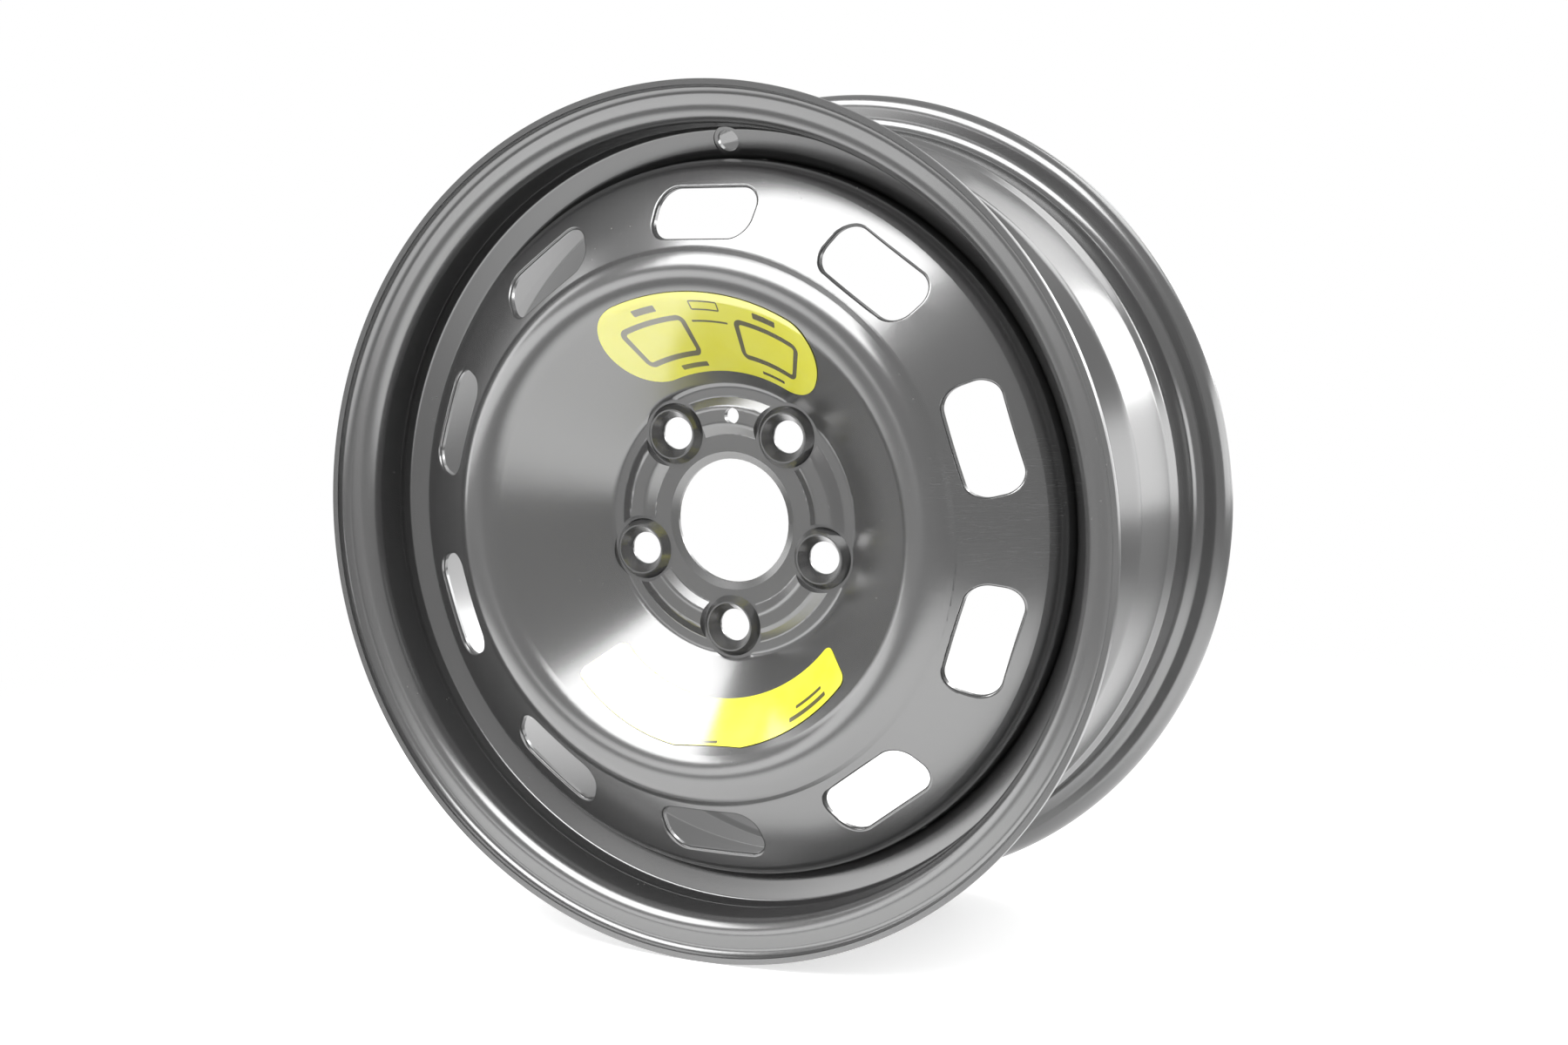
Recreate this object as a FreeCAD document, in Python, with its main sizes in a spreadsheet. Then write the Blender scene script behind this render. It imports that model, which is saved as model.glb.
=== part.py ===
"""Pressed-steel car wheel: a rolled rim and a stamped disc, welded together, with two film labels.

The wheel stands upright. It spins about +Y, its open face looks along -Y, its hub sits on the +Y side
and +Z is up. The origin is on the spin axis, at the face that bolts to the hub.
"""
import FreeCAD, Part
import Sketcher
import math
import os

Vector = FreeCAD.Vector

# Driving dimensions in millimetres and degrees: alias, value, what it measures.
SIZES = [
    ("rim_width", 165.1, "between the tyre sides of the two flanges"),
    ("bead_diameter", 405.6, "bead seat, where it meets the flange"),
    ("flange_height", 17.7, "flange above the bead seat"),
    ("flange_curl", 7.5, "outer radius of the flange curl"),
    ("lip_angle", 8, "how far the lip turns past the top of the curl"),
    ("lip_length", 0.8, "straight end of the lip"),
    ("rim_sheet", 2.8, "thickness of the rim"),
    ("bead_width", 20, "tapered bead seat"),
    ("bead_taper", 5, "slope of the bead seat"),
    ("bead_toe", 6.5, "radius between bead seat and flange"),
    ("hump_height", 1.4, "safety hump above the end of the seat"),
    ("hump_width", 12, "safety hump, foot to foot"),
    ("hump_round", 6, "radii of the hump"),
    ("well_depth", 17, "drop well below the bead seat"),
    ("well_width", 42, "flat of the drop well"),
    ("well_wall_run", 5.8, "width that the steep front wall of the well takes up"),
    ("well_wall_drop", 2.9, "top of that wall below the bead seat"),
    ("well_ramp_run", 15, "width that the rear ramp of the well takes up"),
    ("well_ramp_drop", 6.4, "top of that ramp below the bead seat"),
    ("well_round", 5.2, "radii at the front wall of the well"),
    ("ramp_round", 9, "radii at the rear ramp of the well"),
    ("valve_hole", 11.5, "diameter of the valve hole"),
    ("valve_land", 15.6, "diameter of the flat round the valve hole"),
    ("valve_land_depth", 0.5, "depth of that flat"),
    ("wheel_offset", 48, "middle of the rim behind the mounting face"),
    ("disc_sheet", 3.5, "thickness of the disc"),
    ("disc_fit", 0.1, "clearance between disc skirt and well"),
    ("skirt_seat", 22, "length of skirt inside the well"),
    ("bend_inside", 1.5, "inside radius of the small bends of the disc"),
    ("bore_diameter", 63.4, "centre bore"),
    ("bore_bevel_width", 3.8, "bevelled front edge of the bore, seen along the axis"),
    ("bore_bevel_depth", 1.6, "depth of that bevel"),
    ("bolt_circle", 108, "pitch circle of the bolt holes"),
    ("bolt_count", 5, "bolt holes"),
    ("bolt_hole", 16.6, "diameter of a bolt hole"),
    ("bolt_seat", 24, "mouth diameter of a conical bolt seat"),
    ("seat_angle", 60, "included angle of a bolt seat"),
    ("boss_height", 4.2, "bolt seat above the hub pad"),
    ("boss_brow", 0.8, "flat edge round the mouth of a bolt seat"),
    ("boss_spread", 3, "slope from that edge down to the hub pad"),
    ("boss_pocket", 35, "diameter of the flat pocket round a bolt seat"),
    ("boss_relief_depth", 1.8, "hollow behind a bolt seat"),
    ("boss_relief_width", 3.6, "width of that hollow"),
    ("pin_hole", 8.2, "diameter of the locating-pin hole"),
    ("pin_hole_turn", 2.5, "locating-pin hole, clockwise from the top"),
    ("rib_height", 3, "raised rib between the bolt seats"),
    ("rib_top", 8.5, "flat top of that rib"),
    ("rib_foot", 19, "foot of that rib"),
    ("pad_margin", 6, "flat ring of the hub pad, outside the rib"),
    ("pad_round", 4, "radius between hub pad and bowl"),
    ("bowl_angle", 43, "slope of the bowl from the plane of the wheel"),
    ("crown_width", 14.1, "outer slope of the crown, seen along the axis"),
    ("crown_round", 17, "radius of the crown"),
    ("band_width", 43.1, "window band with the turn to the skirt, seen along the axis"),
    ("band_drop", 14.4, "window band behind the meeting point of the crown slopes"),
    ("band_round", 6, "radius between crown and window band"),
    ("band_angle", 34.5, "slope of the window band"),
    ("skirt_round", 14, "radius between window band and skirt"),
    ("window_count", 10, "windows"),
    ("window_gap", 3.4, "between the crown and a window, seen along the axis"),
    ("window_height", 24.8, "window, seen along the axis"),
    ("window_width", 53, "window at its inner edge"),
    ("window_flare", 4, "how much wider a window is at its outer edge"),
    ("window_corner", 10, "corner radius of a window"),
    ("window_edge", 1.2, "rounded front edge of a window"),
    ("weld_count", 6, "weld runs"),
    ("weld_sweep", 26, "angle of one weld run"),
    ("weld_leg", 4, "leg of a weld run"),
    ("label_film", 0.2, "thickness of a label"),
    ("label_gap", 0.3, "glue and air between the bowl and a label"),
    ("upper_label_gap", 7.5, "between the hub pad and the upper label, seen along the axis"),
    ("upper_label_height", 40.6, "height of the upper label, seen along the axis"),
    ("upper_label_angle", 72, "angle that the upper label spans"),
    ("upper_label_corner", 20, "corner radius of the upper label"),
    ("upper_label_turn_angle", -3.5, "upper label, anticlockwise from the top"),
    ("lower_label_drop", 13.9, "centre of the lower label's arcs below the axis"),
    ("lower_label_gap", 5.2, "how much wider its inner arc is than the hub pad"),
    ("lower_label_height", 22.2, "height of the lower label, seen along the axis"),
    ("lower_label_angle", 103.4, "angle that the lower label spans"),
    ("lower_label_corner", 4, "corner radius of the lower label"),
    ("lower_label_turn_angle", 2.7, "lower label, anticlockwise from the bottom"),
    ("lower_label_flat", 1.8, "how far the outer edge of the lower label is cut straight"),
]

# Margin by which a cutting shape passes the sheet that it cuts.
CUT_MARGIN = 10
# Largest corner radius of a label as a share of its height.
LARGEST_CORNER = 0.49
# Two lengths that differ by less are taken as the same.
SAME_LENGTH = 0.01
# Largest slope, as a sine, at which a wall still counts as running along the wheel's axis.
ALONG_AXIS = 0.01

os.makedirs("parts", exist_ok=True)
doc = FreeCAD.newDocument("CarWheel")
sheet = doc.addObject("Spreadsheet::Sheet", "Sizes")
for row, (alias, value, note) in enumerate(SIZES, start=1):
    sheet.set(f"A{row}", note)
    sheet.set(f"B{row}", str(value))
    sheet.setAlias(f"B{row}", alias)
doc.recompute()

SIZE_NAMES = [alias for alias, _, _ in SIZES]


def bound(expression):
    """Write an expression in size names as one that a feature outside the sheet can hold."""
    words = []
    word = ""
    for letter in expression + " ":
        if letter.isalnum() or letter == "_":
            word += letter
            continue
        words.append("Sizes." + word if word in SIZE_NAMES else word)
        words.append(letter)
        word = ""
    return "".join(words).strip()


def number(expression):
    """Work out an expression in size names."""
    return float(sheet.evalExpression(bound(expression)))


def hold(feature, path, expression):
    """Bind one property of a feature to an expression in size names."""
    feature.setExpression(path, bound(expression))


def hold_new(sketch, constraint, expression):
    """Add a dimension to a sketch and bind it to an expression in size names."""
    index = sketch.addConstraint(constraint)
    hold(sketch, f"Constraints[{index}]", expression)


def place(sketch, geometry, position, across, up):
    """Dimension one point of a sketch from its origin."""
    for kind, expression in (("DistanceX", across), ("DistanceY", up)):
        distance = Sketcher.Constraint(kind, -1, 1, geometry, position, number(expression))
        hold_new(sketch, distance, expression)


def origin_plane(body, role):
    """Find one of the origin planes or axes of a body."""
    return next(item for item in body.Origin.OriginFeatures if item.Role == role)


def sketch_in(body, name, role, height="0", turn="0"):
    """Start a sketch on an origin plane of a body, lifted off it and turned in it by expressions."""
    sketch = body.newObject("Sketcher::SketchObject", name)
    sketch.AttachmentSupport = [(origin_plane(body, role), "")]
    sketch.MapMode = "FlatFace"
    hold(sketch, "AttachmentOffset.Base.z", height)
    hold(sketch, "AttachmentOffset.Rotation.Angle", turn)
    return sketch


def corner_arc(before, corner, after, radius):
    """Work out the arc that rounds a corner, drawn anticlockwise: where it leaves each run, and the arc."""
    back = (before - corner).normalize()
    ahead = (after - corner).normalize()
    half = back.getAngle(ahead) / 2
    start = corner + back * (radius / math.tan(half))
    end = corner + ahead * (radius / math.tan(half))
    middle = corner + (back + ahead).normalize() * (radius / math.sin(half) - radius)
    turns_left = (middle - start).cross(end - middle).z > 0
    first, last = (start, end) if turns_left else (end, start)
    return start, end, turns_left, Part.ArcOfCircle(first, middle, last)


def draw_line(sketch, corners, closed=False):
    """Draw a line through corners, each an (across, up, radius) of expressions, radius None where sharp.

    The corners stay in the sketch as dimensioned construction points, every straight run passes through
    the two corners at its ends, and every rounding is tangent to the runs beside it.
    """
    points = [Vector(number(across), number(up), 0) for across, up, _ in corners]
    count = len(points)
    runs = count if closed else count - 1
    starts = list(points)
    ends = list(points)
    arcs = {}
    for index, (_, _, radius) in enumerate(corners):
        if radius is not None:
            following = points[(index + 1) % count]
            rounding = corner_arc(points[index - 1], points[index], following, number(radius))
            ends[index], starts[index] = rounding[:2]
            arcs[index] = rounding[2:]
    marks = [sketch.addGeometry(Part.Point(point), True) for point in points]
    lines = []
    for run in range(runs):
        straight = Part.LineSegment(starts[run], ends[(run + 1) % count])
        lines.append(sketch.addGeometry(straight))
    for index, mark in enumerate(marks):
        place(sketch, mark, 1, corners[index][0], corners[index][1])
    for run, line in enumerate(lines):
        for corner, position in ((run, 1), ((run + 1) % count, 2)):
            if corner in arcs:
                sketch.addConstraint(Sketcher.Constraint("PointOnObject", marks[corner], 1, line))
            else:
                sketch.addConstraint(Sketcher.Constraint("Coincident", line, position, marks[corner], 1))
    for corner, (turns_left, arc) in arcs.items():
        curve = sketch.addGeometry(arc)
        first, second = lines[corner - 1], lines[corner % runs]
        near, far = (1, 2) if turns_left else (2, 1)
        sketch.addConstraint(Sketcher.Constraint("Tangent", first, 2, curve, near))
        sketch.addConstraint(Sketcher.Constraint("Tangent", curve, far, second, 1))
        hold_new(sketch, Sketcher.Constraint("Radius", curve, arc.Radius), corners[corner][2])


def rolled_sheet(name, corners, thickness, side):
    """Spin a sheet of even thickness about the wheel's axis: the line is one face, side says which."""
    line = doc.addObject("Sketcher::SketchObject", name + "_line")
    draw_line(line, corners)
    doc.recompute()
    section = doc.addObject("Part::Offset2D", name + "_section")
    section.Source = line
    section.Mode = "Skin"
    section.Join = "Intersection"
    section.Fill = True
    hold(section, "Value", f"{side} * ({thickness})")
    turned = doc.addObject("Part::Revolution", name + "_turned")
    turned.Source = section
    turned.Axis = Vector(0, 1, 0)
    turned.Angle = 360
    turned.Solid = True
    doc.recompute()
    return turned


def new_body(label, base=None):
    """Start a sub-part, on a finished base solid where there is one."""
    body = doc.addObject("PartDesign::Body", label)
    body.Label = label
    if base is not None:
        body.BaseFeature = base
    doc.recompute()
    return body


def cut_through(body, name, sketch):
    """Cut a sketch right through a body, both ways."""
    before = body.Shape.Volume
    cut = body.newObject("PartDesign::Pocket", name)
    cut.Profile = sketch
    cut.Type = "ThroughAll"
    cut.SideType = "Symmetric"
    doc.recompute()
    assert body.Shape.Volume < before, name + " cuts nothing"
    return cut


def turn_about(body, kind, name, sketch, angle="360"):
    """Spin a sketch about its own construction line or the wheel's axis, to add or to cut."""
    feature = body.newObject(kind, name)
    feature.Profile = sketch
    feature.ReferenceAxis = (sketch, ["Axis0"])
    hold(feature, "Angle", angle)
    doc.recompute()
    return feature


def repeat(body, name, features, count):
    """Repeat features evenly about the wheel's axis."""
    pattern = body.newObject("PartDesign::PolarPattern", name)
    pattern.Originals = features
    pattern.Axis = (origin_plane(body, "Y_Axis"), [""])
    pattern.Angle = 360
    hold(pattern, "Occurrences", count)
    body.Tip = pattern
    doc.recompute()
    return pattern


# Places that several pieces share, as expressions in size names.
BEAD_RADIUS = "(bead_diameter / 2)"
FLANGE_RADIUS = f"({BEAD_RADIUS} + flange_height)"
FLANGE_WALL = "(rim_width / 2)"
SEAT_END_RADIUS = f"({BEAD_RADIUS} - bead_width * tan(bead_taper))"
HUMP_RADIUS = f"({SEAT_END_RADIUS} + hump_height)"
WELL_RADIUS = f"({BEAD_RADIUS} - well_depth)"
WELL_INSIDE = f"({WELL_RADIUS} - rim_sheet)"
WALL_TOP_RADIUS = f"({BEAD_RADIUS} - well_wall_drop)"
WALL_RISE = "(well_depth - well_wall_drop)"
WALL_TOP = f"(wheel_offset - {FLANGE_WALL} + bead_width + hump_width)"
WELL_FRONT = f"({WALL_TOP} + well_wall_run)"
WELL_REAR = f"({WELL_FRONT} + well_width)"
PAD_FRONT = "(-disc_sheet)"
PAD_BACK = "0"
SKIRT_RADIUS = f"({WELL_INSIDE} - disc_fit)"
SKIRT_END = f"({WELL_FRONT} + skirt_seat)"
BOLT_RADIUS = "(bolt_circle / 2)"
PAD_RADIUS = f"({BOLT_RADIUS} + rib_foot / 2 + pad_margin)"
BAND_RADIUS = f"({SKIRT_RADIUS} - band_width)"
CROWN_RADIUS = f"({BAND_RADIUS} - crown_width)"
CROWN_TOP = f"({PAD_FRONT} - ({CROWN_RADIUS} - {PAD_RADIUS}) * tan(bowl_angle))"
BAND_START = f"({CROWN_TOP} + band_drop)"
OUTSIDE_BEND = "(bend_inside + disc_sheet)"


def flange_corners(side):
    """Give the corners of one flange on its tyre side, from the tip of the lip to the bead seat."""
    curl_radius = f"({FLANGE_RADIUS} - flange_curl)"
    tip_radius = f"{curl_radius} + flange_curl * cos(lip_angle) - lip_length * sin(lip_angle)"
    tip_reach = f"({FLANGE_WALL} + flange_curl * (1 + sin(lip_angle)) + lip_length * cos(lip_angle))"
    curl_corner = f"{curl_radius} + flange_curl * (1 + sin(lip_angle)) / cos(lip_angle)"
    return [
        (tip_radius, f"wheel_offset + {side} * {tip_reach}", None),
        (curl_corner, f"wheel_offset + {side} * {FLANGE_WALL}", "flange_curl"),
        (BEAD_RADIUS, f"wheel_offset + {side} * {FLANGE_WALL}", "bead_toe"),
    ]


def hump_corners(side):
    """Give the corners of one safety hump on its tyre side, from the end of the bead seat inwards."""
    seat_end = f"({FLANGE_WALL} - bead_width)"
    return [
        (SEAT_END_RADIUS, f"wheel_offset + {side} * {seat_end}", "hump_round"),
        (HUMP_RADIUS, f"wheel_offset + {side} * ({seat_end} - hump_width / 2)", "hump_round"),
    ]


def build_rim():
    """Roll the rim and pierce its valve hole."""
    corners = flange_corners("-1") + hump_corners("-1")
    corners += [
        (WALL_TOP_RADIUS, WALL_TOP, "well_round"),
        (WELL_RADIUS, WELL_FRONT, "well_round"),
        (WELL_RADIUS, WELL_REAR, "ramp_round"),
        (f"{BEAD_RADIUS} - well_ramp_drop", f"{WELL_REAR} + well_ramp_run", "ramp_round"),
        (WALL_TOP_RADIUS, f"2 * wheel_offset - {WALL_TOP}", "hump_round"),
    ]
    corners += hump_corners("1")[::-1] + flange_corners("1")[::-1]
    rim = new_body("rim", rolled_sheet("rim", corners, "rim_sheet", "-1"))
    pierce_valve_hole(rim)
    return rim


def pierce_valve_hole(rim):
    """Cut the valve hole and the flat round it square to the well's front wall, at the top."""
    wall_length = f"sqrt(well_wall_run ^ 2 + {WALL_RISE} ^ 2)"
    lean_across = f"({WALL_RISE} / {wall_length})"
    lean_up = f"(well_wall_run / {wall_length})"
    middle_across = f"({WALL_TOP} + well_wall_run / 2)"
    middle_up = f"({WELL_RADIUS} + {WALL_RISE} / 2)"

    def spot(along, out):
        """Place a point by its distance along the hole's axis and its distance from that axis."""
        across = f"{middle_across} + ({along}) * {lean_across} - ({out}) * {lean_up}"
        up = f"{middle_up} + ({along}) * {lean_up} + ({out}) * {lean_across}"
        return across, up, None

    inner_end = f"-rim_sheet - {CUT_MARGIN}"
    land = "valve_land_depth - rim_sheet"
    outer_end = str(CUT_MARGIN)
    sketch = sketch_in(rim, "valve_hole_section", "YZ_Plane")
    axis = sketch.addGeometry(Part.LineSegment(Vector(0, 0, 0), Vector(1, 1, 0)), True)
    for position, along in ((1, inner_end), (2, outer_end)):
        place(sketch, axis, position, *spot(along, "0")[:2])
    draw_line(sketch, [
        spot(inner_end, "0"),
        spot(inner_end, "valve_land / 2"),
        spot(land, "valve_land / 2"),
        spot(land, "valve_hole / 2"),
        spot(outer_end, "valve_hole / 2"),
        spot(outer_end, "0"),
    ], closed=True)
    doc.recompute()
    turn_about(rim, "PartDesign::Groove", "valve_hole_cut", sketch)


def build_disc():
    """Stamp the disc: form the sheet, then press the bolt seats and pierce the windows and holes."""
    corners = [
        ("bore_diameter / 2", PAD_FRONT, None),
        (f"{BOLT_RADIUS} - rib_foot / 2", PAD_FRONT, "bend_inside"),
        (f"{BOLT_RADIUS} - rib_top / 2", f"{PAD_FRONT} - rib_height", OUTSIDE_BEND),
        (f"{BOLT_RADIUS} + rib_top / 2", f"{PAD_FRONT} - rib_height", OUTSIDE_BEND),
        (f"{BOLT_RADIUS} + rib_foot / 2", PAD_FRONT, "bend_inside"),
        (PAD_RADIUS, PAD_FRONT, "pad_round"),
        (CROWN_RADIUS, CROWN_TOP, "crown_round"),
        (BAND_RADIUS, BAND_START, "band_round"),
        (SKIRT_RADIUS, f"{BAND_START} + band_width * tan(band_angle)", "skirt_round"),
        (SKIRT_RADIUS, SKIRT_END, None),
    ]
    disc = new_body("disc", rolled_sheet("disc", corners, "disc_sheet", "-1"))
    press_bolt_seats(disc)
    pierce_windows(disc)
    pierce_pin_hole(disc)
    bevel_bore(disc)
    return disc


def draw_circle(sketch, across, up, radius):
    """Draw one dimensioned circle."""
    centre = Vector(number(across), number(up), 0)
    circle = sketch.addGeometry(Part.Circle(centre, Vector(0, 0, 1), number(radius)))
    place(sketch, circle, 3, across, up)
    hold_new(sketch, Sketcher.Constraint("Radius", circle, number(radius)), radius)


def press_bolt_seats(disc):
    """Press one bolt seat into the bottom of the hub pad, then repeat it round the bolt circle."""
    seat_axis = f"(-{BOLT_RADIUS})"
    floor = sketch_in(disc, "bolt_pocket_floor", "XZ_Plane", f"-{PAD_BACK}")
    draw_circle(floor, "0", seat_axis, "boss_pocket / 2")
    doc.recompute()
    floor_pad = disc.newObject("PartDesign::Pad", "bolt_pocket_plate")
    floor_pad.Profile = floor
    hold(floor_pad, "Length", "disc_sheet")
    doc.recompute()

    opening = sketch_in(disc, "bolt_pocket_outline", "XZ_Plane", f"-{PAD_FRONT}")
    draw_circle(opening, "0", seat_axis, "boss_pocket / 2")
    doc.recompute()
    before = disc.Shape.Volume
    pocket = disc.newObject("PartDesign::Pocket", "bolt_pocket")
    pocket.Profile = opening
    hold(pocket, "Length", f"rib_height + {CUT_MARGIN}")
    pocket.Reversed = True
    doc.recompute()
    assert disc.Shape.Volume < before, "bolt pocket cuts nothing"

    boss_top = f"({PAD_FRONT} - boss_height)"
    mouth = "(bolt_seat / 2)"
    brow = "(bolt_seat / 2 + boss_brow)"
    hole = "(bolt_hole / 2)"
    boss = sketch_in(disc, "bolt_boss_section", "YZ_Plane")
    add_seat_axis(boss, seat_axis)
    draw_line(boss, [
        (PAD_FRONT, f"{seat_axis} + {hole}", None),
        (boss_top, f"{seat_axis} + {hole}", None),
        (boss_top, f"{seat_axis} + {brow}", None),
        (PAD_FRONT, f"{seat_axis} + {brow} + boss_spread", None),
    ], closed=True)
    doc.recompute()
    boss_turned = turn_about(disc, "PartDesign::Revolution", "bolt_boss", boss)

    throat = f"{boss_top} + ({mouth} - {hole}) / tan(seat_angle / 2)"
    seat = sketch_in(disc, "bolt_seat_section", "YZ_Plane")
    add_seat_axis(seat, seat_axis)
    draw_line(seat, [
        (boss_top, seat_axis, None),
        (boss_top, f"{seat_axis} + {mouth}", None),
        (throat, f"{seat_axis} + {hole}", None),
        (f"{PAD_BACK} + {CUT_MARGIN}", f"{seat_axis} + {hole}", None),
        (f"{PAD_BACK} + {CUT_MARGIN}", seat_axis, None),
    ], closed=True)
    doc.recompute()
    seat_cut = turn_about(disc, "PartDesign::Groove", "bolt_seat_cut", seat)

    hollow = sketch_in(disc, "bolt_relief_section", "YZ_Plane")
    add_seat_axis(hollow, seat_axis)
    draw_line(hollow, [
        (PAD_BACK, f"{seat_axis} + {brow} - boss_relief_width / 2", None),
        (PAD_BACK, f"{seat_axis} + {brow} + boss_relief_width / 2", None),
        (f"{PAD_BACK} - boss_relief_depth", f"{seat_axis} + {brow} + boss_relief_width / 4", None),
        (f"{PAD_BACK} - boss_relief_depth", f"{seat_axis} + {brow} - boss_relief_width / 4", None),
    ], closed=True)
    doc.recompute()
    relief = turn_about(disc, "PartDesign::Groove", "bolt_relief", hollow)
    repeat(disc, "bolt_seats", [floor_pad, pocket, boss_turned, seat_cut, relief], "bolt_count")


def add_seat_axis(sketch, seat_axis):
    """Draw the axis of the first bolt seat as a construction line."""
    axis = sketch.addGeometry(Part.LineSegment(Vector(0, 0, 0), Vector(1, 0, 0)), True)
    place(sketch, axis, 1, PAD_FRONT, seat_axis)
    place(sketch, axis, 2, PAD_BACK, seat_axis)


def pierce_windows(disc):
    """Pierce one window at the top of the disc, then repeat it round the wheel."""
    outline = sketch_in(disc, "window_outline", "XZ_Plane")
    inner = f"({BAND_RADIUS} + window_gap)"
    outer = f"({inner} + window_height)"
    draw_line(outline, [
        ("-window_width / 2", inner, "window_corner"),
        ("window_width / 2", inner, "window_corner"),
        ("(window_width + window_flare) / 2", outer, "window_corner"),
        ("-(window_width + window_flare) / 2", outer, "window_corner"),
    ], closed=True)
    doc.recompute()
    window = cut_through(disc, "window", outline)
    repeat(disc, "windows", [window], "window_count")
    round_windows(disc)


def round_windows(disc):
    """Round the front edges of the windows: of each wall of a window, the foremost edge across it."""
    base = disc.Tip
    numbers = {edge.hashCode(): index for index, edge in enumerate(base.Shape.Edges, start=1)}
    names = []
    for wall in base.Shape.Faces:
        if is_window_wall(wall.Surface):
            front = min(wall.Edges, key=lambda edge: edge.CenterOfMass.y)
            names.append(f"Edge{numbers[front.hashCode()]}")
    rounding = disc.newObject("PartDesign::Fillet", "window_edges")
    rounding.Base = (base, names)
    hold(rounding, "Radius", "window_edge")
    doc.recompute()


def is_window_wall(surface):
    """Tell whether a surface is one of the straight or rounded walls of the windows."""
    if isinstance(surface, Part.Plane):
        return abs(surface.Axis.y) < ALONG_AXIS
    rounded = isinstance(surface, Part.Cylinder)
    return rounded and abs(surface.Radius - number("window_corner")) < SAME_LENGTH


def pierce_pin_hole(disc):
    """Pierce the locating-pin hole between the two top bolt seats."""
    outline = sketch_in(disc, "pin_hole_outline", "XZ_Plane")
    across = f"{BOLT_RADIUS} * sin(pin_hole_turn)"
    up = f"{BOLT_RADIUS} * cos(pin_hole_turn)"
    draw_circle(outline, across, up, "pin_hole / 2")
    doc.recompute()
    cut_through(disc, "pin_hole_cut", outline)


def bevel_bore(disc):
    """Bevel the front edge of the centre bore."""
    base = disc.Tip
    radius = number("bore_diameter / 2")
    front = number(PAD_FRONT)
    names = []
    for index, edge in enumerate(base.Shape.Edges, start=1):
        curve = edge.Curve
        on_bore = isinstance(curve, Part.Circle) and abs(curve.Radius - radius) < SAME_LENGTH
        if on_bore and abs(curve.Center.y - front) < SAME_LENGTH:
            names.append(f"Edge{index}")
    bevel = disc.newObject("PartDesign::Chamfer", "bore_bevel")
    bevel.Base = (base, names)
    bevel.ChamferType = "Two distances"
    hold(bevel, "Size", "bore_bevel_width")
    hold(bevel, "Size2", "bore_bevel_depth")
    doc.recompute()


def build_welds():
    """Lay the weld runs in the corner between the end of the skirt and the well of the rim."""
    welds = new_body("weld_beads")
    section = sketch_in(welds, "weld_section", "XY_Plane")
    axis = section.addGeometry(Part.LineSegment(Vector(0, 0, 0), Vector(0, 1, 0)), True)
    place(section, axis, 1, "0", SKIRT_END)
    place(section, axis, 2, "0", f"{SKIRT_END} + weld_leg")
    draw_line(section, [
        (WELL_INSIDE, SKIRT_END, None),
        (WELL_INSIDE, f"{SKIRT_END} + weld_leg", None),
        (f"{WELL_INSIDE} - min(weld_leg; disc_sheet)", SKIRT_END, None),
    ], closed=True)
    doc.recompute()
    run = turn_about(welds, "PartDesign::Revolution", "weld_run", section, "weld_sweep")
    repeat(welds, "weld_runs", [run], "weld_count")
    return welds


def build_label(label, middle, centre, flat=None):
    """Lay one film label on the bowl.

    The names of its sizes start with its own. Middle is the angle of its middle and centre the height of
    the centre of its arcs, before it is turned. Flat is how far its outer edge is cut straight below.
    """
    inner = f"({PAD_RADIUS} + {label}_gap)"
    outer = f"({inner} + {label}_height)"
    lift = "label_gap / cos(bowl_angle)"
    film_line = [
        (PAD_RADIUS, f"{PAD_FRONT} - {lift}", None),
        (CROWN_RADIUS, f"{CROWN_TOP} - {lift}", "crown_round"),
        (BAND_RADIUS, f"{BAND_START} - {lift}", None),
    ]
    film = rolled_sheet(label + "_film", film_line, "label_film", "1")

    blank = doc.addObject("PartDesign::Body", label + "_blank")
    outline = sketch_in(blank, label + "_outline", "XZ_Plane", f"-{PAD_FRONT}", f"{label}_turn_angle")
    draw_sector(outline, centre, inner, outer, middle, f"{label}_angle")
    doc.recompute()
    pad = blank.newObject("PartDesign::Pad", label + "_pad")
    pad.Profile = outline
    hold(pad, "Length", f"{PAD_FRONT} - {CROWN_TOP} + {CUT_MARGIN}")
    doc.recompute()
    sides = [
        f"Edge{index}" for index, edge in enumerate(pad.Shape.Edges, start=1)
        if isinstance(edge.Curve, Part.Line) and abs(edge.Curve.Direction.y) > 1 - ALONG_AXIS
    ]
    rounding = blank.newObject("PartDesign::Fillet", label + "_corners")
    rounding.Base = (pad, sides)
    hold(rounding, "Radius", f"min({label}_corner; {LARGEST_CORNER} * {label}_height)")
    doc.recompute()
    if flat is not None:
        edge = f"({centre} - {outer} + {flat})"
        beyond = f"{edge} - {flat} - {CUT_MARGIN}"
        strip = sketch_in(blank, label + "_flat_outline", "XZ_Plane", f"-{PAD_FRONT}", f"{label}_turn_angle")
        draw_line(strip, [
            (f"-{outer}", edge, None),
            (outer, edge, None),
            (outer, beyond, None),
            (f"-{outer}", beyond, None),
        ], closed=True)
        cut_through(blank, label + "_flat_cut", strip)

    piece = doc.addObject("Part::Common", label)
    piece.Label = label
    piece.Base = film
    piece.Tool = blank
    doc.recompute()
    return piece


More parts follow.
